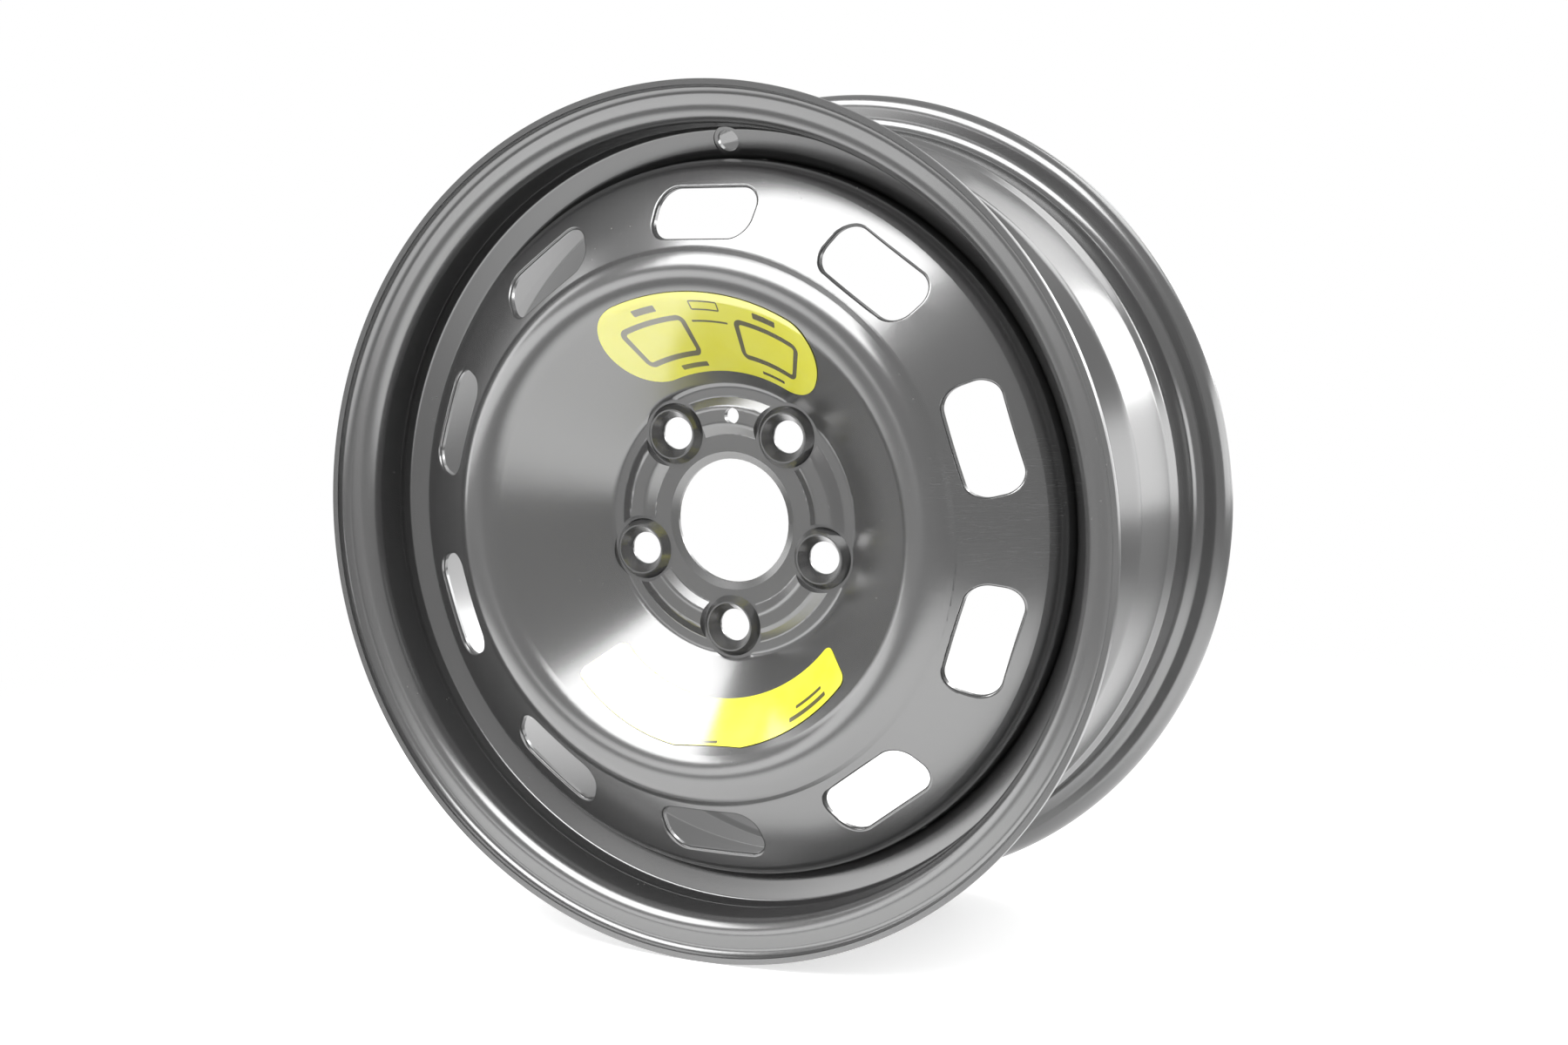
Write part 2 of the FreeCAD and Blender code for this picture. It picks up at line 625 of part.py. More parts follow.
def draw_sector(sketch, centre, inner, outer, middle, sweep):
    """Draw a ring sector about a point above or below the origin, its middle straight up or down."""
    start = math.radians(number(f"{middle} - {sweep} / 2"))
    end = math.radians(number(f"{middle} + {sweep} / 2"))
    curves = []
    for radius in (inner, outer):
        circle = Part.Circle(Vector(0, number(centre), 0), Vector(0, 0, 1), number(radius))
        curve = sketch.addGeometry(Part.ArcOfCircle(circle, start, end))
        place(sketch, curve, 3, "0", centre)
        hold_new(sketch, Sketcher.Constraint("Radius", curve, number(radius)), radius)
        curves.append(curve)
    for position, angle in ((1, start), (2, end)):
        ends = [sketch.getPoint(curve, position) for curve in curves]
        side = sketch.addGeometry(Part.LineSegment(*ends))
        for end_position, curve in zip((1, 2), curves):
            sketch.addConstraint(Sketcher.Constraint("Coincident", side, end_position, curve, position))
        sketch.addConstraint(Sketcher.Constraint("PointOnObject", curves[0], 3, side))
        reach = math.copysign(1, math.cos(angle))
        half_width = f"{reach} * {outer} * sin({sweep} / 2)"
        limit = Sketcher.Constraint("DistanceX", -1, 1, side, 2, number(half_width))
        hold_new(sketch, limit, half_width)


pieces = [
    build_rim(),
    build_disc(),
    build_welds(),
    build_label("upper_label", "90", "0"),
    build_label("lower_label", "270", "-lower_label_drop", "lower_label_flat"),
]
doc.recompute()

for item in doc.Objects:
    assert not {"Invalid", "Error"} & set(item.State), f"{item.Name} failed: {item.State}"
for piece in pieces:
    assert not piece.Shape.isNull() and piece.Shape.isValid(), piece.Label + " has no valid shape"
    piece.Shape.exportStep(f"parts/{piece.Label}.step")
    print(piece.Label, len(piece.Shape.Solids), round(piece.Shape.Volume), piece.Shape.BoundBox)
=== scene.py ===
"""Studio picture of a bare pressed-steel car wheel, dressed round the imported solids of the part."""
import logging
import math
from dataclasses import dataclass, field
from enum import Enum

import bmesh
import bpy
from mathutils import Matrix, Vector


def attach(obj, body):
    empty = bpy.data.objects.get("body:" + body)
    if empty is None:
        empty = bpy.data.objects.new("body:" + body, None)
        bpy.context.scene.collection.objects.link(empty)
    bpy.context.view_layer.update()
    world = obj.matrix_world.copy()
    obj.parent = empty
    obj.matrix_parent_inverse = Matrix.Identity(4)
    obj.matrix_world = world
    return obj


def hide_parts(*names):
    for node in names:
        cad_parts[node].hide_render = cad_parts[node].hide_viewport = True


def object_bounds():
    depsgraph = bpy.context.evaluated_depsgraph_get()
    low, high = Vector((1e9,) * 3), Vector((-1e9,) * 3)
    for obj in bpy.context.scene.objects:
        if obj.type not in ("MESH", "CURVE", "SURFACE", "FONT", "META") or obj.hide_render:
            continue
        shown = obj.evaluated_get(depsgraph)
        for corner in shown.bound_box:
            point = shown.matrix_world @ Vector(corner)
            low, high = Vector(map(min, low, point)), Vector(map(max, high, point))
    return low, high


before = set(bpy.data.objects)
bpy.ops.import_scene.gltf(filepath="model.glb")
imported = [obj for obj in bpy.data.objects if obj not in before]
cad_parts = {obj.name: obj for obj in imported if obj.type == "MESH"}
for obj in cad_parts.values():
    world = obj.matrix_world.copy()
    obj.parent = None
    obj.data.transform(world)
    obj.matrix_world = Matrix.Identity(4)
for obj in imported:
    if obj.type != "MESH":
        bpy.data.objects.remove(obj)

CAD_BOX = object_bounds()
BODY = "root"
MILLIMETRE = 0.001
INK_EDGE = 0.12 * MILLIMETRE

log = logging.getLogger("car_wheel")

Colour = tuple[float, float, float]
Span = tuple[float, float]
Socket = bpy.types.NodeSocket

BLACK: Colour = (0.0, 0.0, 0.0)
WHITE: Colour = (1.0, 1.0, 1.0)


class Slot(Enum):
    """Material slots of the record."""

    BLACK_COAT = "black_coat"
    LABEL_FILM = "label_film"


class Piece(Enum):
    """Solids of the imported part."""

    RIM = "rim"
    DISC = "disc"
    WELD_BEADS = "weld_beads"
    UPPER_LABEL = "upper_label"
    LOWER_LABEL = "lower_label"


class MixKind(Enum):
    """What a mix node mixes, with the numbers of its first, second and result sockets."""

    VALUE = ("FLOAT", 2, 3, 0)
    COLOUR = ("RGBA", 6, 7, 2)


class NodeBoard:
    """A node tree that is filled by short calls."""

    def __init__(self, tree: bpy.types.NodeTree) -> None:
        """Hold the tree.

        Args:
            tree: the shader tree or node group to fill.
        """
        self.tree = tree

    def add(self, kind: str, **settings: object) -> bpy.types.Node:
        """Add one node.

        Args:
            kind: Blender's name of the node type.
            settings: attributes of the node, such as operation.

        Returns:
            The new node.
        """
        node = self.tree.nodes.new(kind)
        for name, value in settings.items():
            setattr(node, name, value)
        return node

    def feed(self, node: bpy.types.Node, **inputs: object) -> bpy.types.Node:
        """Fill inputs of a node with sockets or plain values.

        Args:
            node: the node to fill.
            inputs: socket names, with _ for a space, each with a socket or a value.

        Returns:
            The same node.
        """
        for name, value in inputs.items():
            self.plug(node, name.replace("_", " "), value)
        return node

    def plug(self, node: bpy.types.Node, name: str | int, value: object) -> None:
        """Fill one input of a node.

        Args:
            node: the node to fill.
            name: name or number of the input.
            value: a socket to link, or a plain value.
        """
        socket = node.inputs[name]
        if isinstance(value, Socket):
            self.tree.links.new(value, socket)
        else:
            socket.default_value = value

    def math(
        self, operation: str, first: object, second: object = 0.0, third: object = 0.0
    ) -> Socket:
        """Add one sum.

        Args:
            operation: Blender's name of the operation.
            first: first operand, a socket or a number.
            second: second operand.
            third: third operand, for operations that take one.

        Returns:
            The result's socket.
        """
        node = self.add("ShaderNodeMath", operation=operation)
        for index, value in enumerate((first, second, third)):
            self.plug(node, index, value)
        return node.outputs[0]

    def product(self, first: object, *others: object) -> Socket:
        """Multiply sockets and numbers.

        Args:
            first: first factor.
            others: the other factors.

        Returns:
            The product's socket.
        """
        result = first
        for factor in others:
            result = self.math("MULTIPLY", result, factor)
        return result

    def ramp(self, value: object, ends: Span, start: object = 0.0, end: object = 1.0) -> Socket:
        """Map a range smoothly onto another, held at its ends.

        Args:
            value: the socket to map.
            ends: where the range starts and ends.
            start: result at its start.
            end: result at its end.

        Returns:
            The result's socket.
        """
        node = self.add("ShaderNodeMapRange", interpolation_type="SMOOTHSTEP")
        low, high = ends
        self.feed(node, Value=value, From_Min=low, From_Max=high, To_Min=start, To_Max=end)
        return node.outputs["Result"]

    def sum_of_squares(self, first: object, second: object) -> Socket:
        """Add two squares.

        Args:
            first: socket to square.
            second: socket to square.

        Returns:
            The sum's socket.
        """
        return self.math("MULTIPLY_ADD", first, first, self.product(second, second))

    def noise(self, place: object, scale: object, detail: float) -> Socket:
        """Add a cloudy noise.

        Args:
            place: where on the object.
            scale: how fine it is.
            detail: how many finer layers it has.

        Returns:
            The noise's socket, from 0 to 1.
        """
        node = self.add("ShaderNodeTexNoise")
        return self.feed(node, Vector=place, Scale=scale, Detail=detail).outputs["Fac"]

    def bump(self, height: Socket, strength: float, distance: float) -> Socket:
        """Turn a height into a normal.

        Args:
            height: the height's socket.
            strength: how strongly it shows.
            distance: depth at full height, in metres.

        Returns:
            The normal's socket.
        """
        node = self.add("ShaderNodeBump")
        self.feed(node, Strength=strength, Distance=distance, Height=height)
        return node.outputs["Normal"]

    def mix(self, kind: MixKind, factor: object, first: object, second: object) -> Socket:
        """Mix two values or two colours.

        Args:
            kind: what is mixed.
            factor: share of the second.
            first: number, colour or socket at 0.
            second: number, colour or socket at 1.

        Returns:
            The mixture's socket.
        """
        data_type, first_at, second_at, result_at = kind.value
        node = self.add("ShaderNodeMix", data_type=data_type, clamp_factor=True)
        self.plug(node, 0, factor)
        for number, item in ((first_at, first), (second_at, second)):
            self.plug(node, number, (*item, 1.0) if isinstance(item, tuple) else item)
        return node.outputs[result_at]

    def group(self, tree: bpy.types.NodeTree, **inputs: object) -> Socket:
        """Place a node group and fill its inputs.

        Args:
            tree: the group.
            inputs: as for feed.

        Returns:
            The socket of the group's only output.
        """
        node = self.add("ShaderNodeGroup")
        node.node_tree = tree
        return self.feed(node, **inputs).outputs[0]


@dataclass(frozen=True)
class GroupSocket:
    """One named input of a node group."""

    name: str
    kind: str = "NodeSocketFloat"
    value: float | None = None


PLACE = GroupSocket("Place", "NodeSocketVector")


class EffectGroup:
    """A shader effect that several finishes share."""

    def __init__(self, name: str, inputs: list[GroupSocket], output: str) -> None:
        """Make an empty group with its sockets.

        Args:
            name: name of the group.
            inputs: sockets on its left.
            output: name of the value that it gives.
        """
        self.tree = bpy.data.node_groups.new(name, "ShaderNodeTree")
        self.output = output
        for direction, sockets in (("INPUT", inputs), ("OUTPUT", [GroupSocket(output)])):
            for socket in sockets:
                made = self.tree.interface.new_socket(
                    socket.name, in_out=direction, socket_type=socket.kind
                )
                if socket.value is not None:
                    made.default_value = socket.value
        self.board = NodeBoard(self.tree)
        self.given = self.board.add("NodeGroupInput").outputs
        self.result = self.board.add("NodeGroupOutput")

    def finish(self, value: Socket) -> bpy.types.NodeTree:
        """Send a value out of the group.

        Args:
            value: the socket to send out.

        Returns:
            The finished group.
        """
        self.board.plug(self.result, self.output, value)
        return self.tree


@dataclass
class Effects:
    """The shared effects of the wheel's finishes, each built once."""

    peel_grain: float = 260.0
    peel_fine_ratio: float = 6.0
    peel_fine_share: float = 0.2
    speck_spacing: float = 420.0
    speck_edge: Span = (0.04, 0.3)
    speck_chance: Span = (0.93, 0.97)
    dust_patch: float = 14.0
    dust_spread: Span = (0.46, 0.68)
    dust_lean: Span = (-0.3, 0.8)
    dust_underneath: float = 0.25
    rub_density: float = 9.0
    rub_spread: Span = (0.62, 0.72)
    rub_turn: tuple[float, float, float] = (0.4, 0.9, 0.3)
    rub_stretch: tuple[float, float, float] = (1.0, 1.0, 26.0)
    rub_scale: float = 38.0
    rub_width: float = 0.012
    cloud_scale: float = 12.0
    noise_middle: float = 0.5

    def __post_init__(self) -> None:
        """Build every effect."""
        self.orange_peel = self.build_orange_peel()
        self.dust = self.build_dust()
        self.rubs = self.build_rubs()
        self.clouds = self.build_clouds()
        self.printed_field = self.build_printed_field()

    def build_orange_peel(self) -> bpy.types.NodeTree:
        """Build the fine waviness of a dipped coat.

        Returns:
            A group from a place to a height.
        """
        inputs = [PLACE, GroupSocket("Grain", value=self.peel_grain)]
        effect = EffectGroup("orange_peel", inputs, "Height")
        board, given = effect.board, effect.given
        waves = board.noise(given["Place"], given["Grain"], 2.0)
        fine_scale = board.product(given["Grain"], self.peel_fine_ratio)
        grains = board.noise(given["Place"], fine_scale, 1.0)
        return effect.finish(board.math("MULTIPLY_ADD", grains, self.peel_fine_share, waves))

    def build_dust(self) -> bpy.types.NodeTree:
        """Build specks of dust that settle on faces that look up.

        Returns:
            A group from a place and a normal to a mask.
        """
        inputs = [
            PLACE,
            GroupSocket("Normal", "NodeSocketVector"),
            GroupSocket("Spacing", value=self.speck_spacing),
            GroupSocket("Amount"),
        ]
        effect = EffectGroup("settled_dust", inputs, "Mask")
        board, given = effect.board, effect.given
        voronoi = board.add("ShaderNodeTexVoronoi")
        cells = board.feed(voronoi, Vector=given["Place"], Scale=given["Spacing"]).outputs
        tint = board.feed(board.add("ShaderNodeSeparateColor"), Color=cells["Color"]).outputs
        specks = board.product(
            board.ramp(cells["Distance"], self.speck_edge, 1.0, 0.0),
            board.ramp(tint["Red"], self.speck_chance),
        )
        patches = board.noise(given["Place"], self.dust_patch, 4.0)
        spread = board.ramp(patches, self.dust_spread)
        split = board.feed(board.add("ShaderNodeSeparateXYZ"), Vector=given["Normal"]).outputs
        upward = board.ramp(split["Z"], self.dust_lean, self.dust_underneath, 1.0)
        return effect.finish(board.product(specks, spread, upward, given["Amount"]))

    def build_rubs(self) -> bpy.types.NodeTree:
        """Build sparse hairline rubs of handling.

        Returns:
            A group from a place to a mask.
        """
        inputs = [PLACE, GroupSocket("Density", value=self.rub_density), GroupSocket("Amount")]
        effect = EffectGroup("handling_rubs", inputs, "Mask")
        board, given = effect.board, effect.given
        stretch = board.feed(
            board.add("ShaderNodeMapping"),
            Vector=given["Place"],
            Rotation=self.rub_turn,
            Scale=self.rub_stretch,
        )
        lines = board.noise(stretch.outputs[0], self.rub_scale, 2.0)
        off_middle = board.math("ABSOLUTE", board.math("SUBTRACT", lines, self.noise_middle))
        hair = board.ramp(off_middle, (0.0, self.rub_width), 1.0, 0.0)
        patches = board.noise(given["Place"], given["Density"], 3.0)
        where = board.ramp(patches, self.rub_spread)
        return effect.finish(board.product(hair, where, given["Amount"]))

    def build_clouds(self) -> bpy.types.NodeTree:
        """Build slow changes of gloss across a coat.

        Returns:
            A group from a place to a value round zero.
        """
        inputs = [PLACE, GroupSocket("Scale", value=self.cloud_scale)]
        effect = EffectGroup("gloss_clouds", inputs, "Value")
        board, given = effect.board, effect.given
        noise = board.noise(given["Place"], given["Scale"], 3.0)
        return effect.finish(board.math("SUBTRACT", noise, self.noise_middle))

    @staticmethod
    def build_printed_field() -> bpy.types.NodeTree:
        """Build a printed field with round corners that follows an arc.

        Returns:
            A group from a place and the field's sizes to a mask. A thin line leaves the field open.
        """
        sizes = ("Drop", "Angle", "Radius", "Half Length", "Half Height", "Corner", "Line")
        inputs = [PLACE] + [GroupSocket(name) for name in sizes]
        effect = EffectGroup("printed_field", inputs, "Mask")
        board, given = effect.board, effect.given

        def less(first: object, second: object) -> Socket:
            """Subtract the second from the first."""
            return board.math("SUBTRACT", first, second)

        split = board.feed(board.add("ShaderNodeSeparateXYZ"), Vector=given["Place"]).outputs
        height = board.math("ADD", split["Z"], given["Drop"])
        reach = board.math("SQRT", board.sum_of_squares(height, split["X"]))
        turn = less(board.math("ARCTAN2", height, split["X"]), given["Angle"])
        along = board.math("ABSOLUTE", board.product(turn, given["Radius"]))
        across = board.math("ABSOLUTE", less(reach, given["Radius"]))
        past_end = less(along, less(given["Half Length"], given["Corner"]))
        past_side = less(across, less(given["Half Height"], given["Corner"]))
        end = board.math("MAXIMUM", past_end, 0.0)
        side = board.math("MAXIMUM", past_side, 0.0)
        beyond = board.math("SQRT", board.sum_of_squares(end, side))
        within = board.math("MINIMUM", board.math("MAXIMUM", past_end, past_side), 0.0)
        depth = less(less(given["Corner"], beyond), within)
        inked = board.math("MINIMUM", depth, less(given["Line"], depth))
        return effect.finish(board.ramp(inked, (-INK_EDGE, INK_EDGE)))


def new_finish(name: str) -> tuple[bpy.types.Material, NodeBoard, bpy.types.Node]:
    """Start a material.

    Args:
        name: name of the finish.

    Returns:
        The material, its board and its shader.
    """
    made = bpy.data.materials.new(name)
    made.use_nodes = True
    return made, NodeBoard(made.node_tree), made.node_tree.nodes["Principled BSDF"]


@dataclass(frozen=True)
class BlackCoat:
    """Semi-gloss black dip coat over pressed steel."""

    name: str = "black_dip_coat"
    colour: Colour = (0.045, 0.045, 0.045)
    dust_colour: Colour = (0.32, 0.31, 0.29)
    rub_colour: Colour = (0.16, 0.16, 0.16)
    roughness: float = 0.22
    roughness_range: float = 0.08
    dust_roughness: float = 0.3
    refraction: float = 2.25
    peel_depth: float = 0.00002
    peel_strength: float = 0.06
    dust: float = 0.5
    rubs: float = 0.35

    def material(self, effects: Effects) -> bpy.types.Material:
        """Make the coat's material.

        Args:
            effects: the shared effects.

        Returns:
            The material.
        """
        made, board, shader = new_finish(self.name)
        place = board.add("ShaderNodeTexCoord").outputs["Object"]
        normal = board.add("ShaderNodeNewGeometry").outputs["Normal"]
        dust = board.group(effects.dust, Place=place, Normal=normal, Amount=self.dust)
        rubs = board.group(effects.rubs, Place=place, Amount=self.rubs)
        clouds = board.group(effects.clouds, Place=place)
        peel = board.group(effects.orange_peel, Place=place)
        dusted = board.mix(MixKind.COLOUR, dust, self.colour, self.dust_colour)
        gloss = board.math("MULTIPLY_ADD", clouds, self.roughness_range, self.roughness)
        board.feed(
            shader,
            Base_Color=board.mix(MixKind.COLOUR, rubs, dusted, self.rub_colour),
            Roughness=board.math("MULTIPLY_ADD", dust, self.dust_roughness, gloss),
            Normal=board.bump(peel, self.peel_strength, self.peel_depth),
            IOR=self.refraction,
        )
        return made


@dataclass(frozen=True)
class PrintField:
    """One plain printed field of a label, laid along an arc, in degrees and millimetres.

    The angle is anticlockwise from the wheel's right. A field whose line is thinner than half its
    height stays open.
    """

    angle: float
    radius: float
    length: float
    height: float
    corner: float
    line: float

    def mask(self, board: NodeBoard, effects: Effects, place: Socket, drop: float) -> Socket:
        """Place the field's mask.

        Args:
            board: the tree to add to.
            effects: the shared effects.
            place: where on the label.
            drop: centre of the arcs below the axis.

        Returns:
            The mask's socket.
        """
        return board.group(
            effects.printed_field,
            Place=place,
            Drop=drop * MILLIMETRE,
            Angle=math.radians(self.angle),
            Radius=self.radius * MILLIMETRE,
            Half_Length=self.length / 2 * MILLIMETRE,
            Half_Height=self.height / 2 * MILLIMETRE,
            Corner=self.corner * MILLIMETRE,
            Line=self.line * MILLIMETRE,
        )


@dataclass(frozen=True)
class LabelFilm:
    """Glossy yellow sticker film with a plain print."""

    name: str
    fields: tuple[PrintField, ...]
    drop: float = 0.0
    colour: Colour = (0.84, 0.80, 0.02)
    faded: Colour = (0.86, 0.83, 0.08)
    fade_spread: Span = (-0.3, 0.3)
    ink: Colour = (0.10, 0.09, 0.03)
    dust_colour: Colour = (0.5, 0.47, 0.35)
    roughness: float = 0.14
    roughness_range: float = 0.06
    cloud_scale: float = 30.0
    refraction: float = 2.2
    peel_grain: float = 420.0
    peel_depth: float = 0.00002
    peel_strength: float = 0.2
    dust: float = 0.15

    def material(self, effects: Effects) -> bpy.types.Material:
        """Make the film's material.

        Args:
            effects: the shared effects.

        Returns:
            The material.
        """
        made, board, shader = new_finish(self.name)
        place = board.add("ShaderNodeTexCoord").outputs["Object"]
        normal = board.add("ShaderNodeNewGeometry").outputs["Normal"]
        clouds = board.group(effects.clouds, Place=place, Scale=self.cloud_scale)
        dust = board.group(effects.dust, Place=place, Normal=normal, Amount=self.dust)
        peel = board.group(effects.orange_peel, Place=place, Grain=self.peel_grain)
        fade = board.ramp(clouds, self.fade_spread)
        film = board.mix(MixKind.COLOUR, fade, self.colour, self.faded)
        printed = self.fields[0].mask(board, effects, place, self.drop)
        for shape in self.fields[1:]:
            mask = shape.mask(board, effects, place, self.drop)
            printed = board.math("MAXIMUM", printed, mask)
        inked = board.mix(MixKind.COLOUR, printed, film, self.ink)
        board.feed(
            shader,
            Base_Color=board.mix(MixKind.COLOUR, dust, inked, self.dust_colour),
            Roughness=board.math("MULTIPLY_ADD", clouds, self.roughness_range, self.roughness),
            Normal=board.bump(peel, self.peel_strength, self.peel_depth),
            IOR=self.refraction,
        )
        return made


UPPER_FILM = LabelFilm("upper_label_film", (
    PrintField(104.5, 96.0, 35.0, 21.0, 4.0, 2.6),
    PrintField(68.5, 96.0, 35.0, 21.0, 4.0, 2.6),
    PrintField(104.0, 111.2, 13.0, 3.2, 0.6, 2.0),
    PrintField(69.0, 111.2, 13.0, 3.2, 0.6, 2.0),
    PrintField(99.5, 81.0, 15.0, 2.4, 0.5, 2.0),
    PrintField(67.5, 80.6, 13.0, 1.6, 0.4, 2.0),
    PrintField(86.5, 111.0, 16.0, 5.0, 1.0, 0.8),
    PrintField(86.5, 103.0, 20.0, 1.0, 0.3, 2.0),
))
LOWER_FILM = LabelFilm("lower_label_film", (
    PrintField(-51.0, 93.2, 24.0, 2.2, 0.5, 2.0),
    PrintField(-50.0, 89.0, 17.0, 1.6, 0.4, 2.0),
    PrintField(-131.0, 85.6, 9.0, 9.0, 2.0, 1.2),
    PrintField(-133.0, 93.0, 12.0, 2.0, 0.5, 2.0),
    PrintField(-91.0, 93.6, 22.0, 1.2, 0.4, 2.0),
), drop=13.9)


def dress(node: Piece, material: bpy.types.Material) -> bpy.types.Object:
    """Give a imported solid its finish.

    Args:
        node: the solid.
        material: its finish.

    Returns:
        The solid's object.
    """
    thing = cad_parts[node.value]
    thing.data.materials.clear()
    thing.data.materials.append(material)
    log.info("dressed %s with %s", node.value, material.name)
    return thing


def add_object(name: str, data: bpy.types.ID) -> bpy.types.Object:
    """Put a mesh, a lamp or a camera into the scene.

    Args:
        name: name of the object.
        data: what it shows.

    Returns:
        The object.
    """
    thing = bpy.data.objects.new(name, data)
    bpy.context.scene.collection.objects.link(thing)
    return thing


def add_piece(name: str, mesh: bpy.types.Mesh, node: Piece) -> bpy.types.Object:
    """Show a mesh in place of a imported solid.

    Args:
        name: name of the piece.
        mesh: its mesh.
        node: the solid that it stands for.

    Returns:
        The piece's object.
    """
    thing = add_object(name, mesh)
    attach(thing, BODY)
    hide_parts(node.value)
    log.info("%s has %d faces", name, len(mesh.polygons))
    return thing


Ring = list[bmesh.types.BMVert]


def skin(drawn: bmesh.types.BMesh, rings: list[Ring], closed: bool) -> None:
    """Join rings of corners by faces.

    Args:
        drawn: the mesh to add to.
        rings: the rings, all with the same number of corners.
        closed: whether the last ring meets the first. Otherwise each end gets a face.
    """
    for one, other in zip(rings, rings[1:] + (rings[:1] if closed else [])):
        for index in range(len(one)):
            after = (index + 1) % len(one)
            drawn.faces.new((one[index], one[after], other[after], other[index]))
    if not closed:
        drawn.faces.new(rings[0])
        drawn.faces.new(rings[-1])


def mesh_from(drawn: bmesh.types.BMesh, name: str) -> bpy.types.Mesh:
    """Turn a drawn shape into a mesh whose faces look outward.

    Args:
        drawn: the shape, which is used up.
        name: name of the mesh.

    Returns:
        The mesh.
    """
    bmesh.ops.recalc_face_normals(drawn, faces=drawn.faces)
    mesh = bpy.data.meshes.new(name)
    drawn.to_mesh(mesh)
    drawn.free()
    return mesh


def shade_smooth(mesh: bpy.types.Mesh) -> None:
    """Shade every face of a mesh smoothly."""
    mesh.polygons.foreach_set("use_smooth", [True] * len(mesh.polygons))


@dataclass(frozen=True)
class Bend:
    """One corner of a sheet in section: distance from the axis, place along it and radius."""

    reach: float
    along: float
    radius: float = 0.0

    @property
    def place(self) -> Vector:
        """The corner as a point of the section."""
        return Vector((self.reach, self.along))


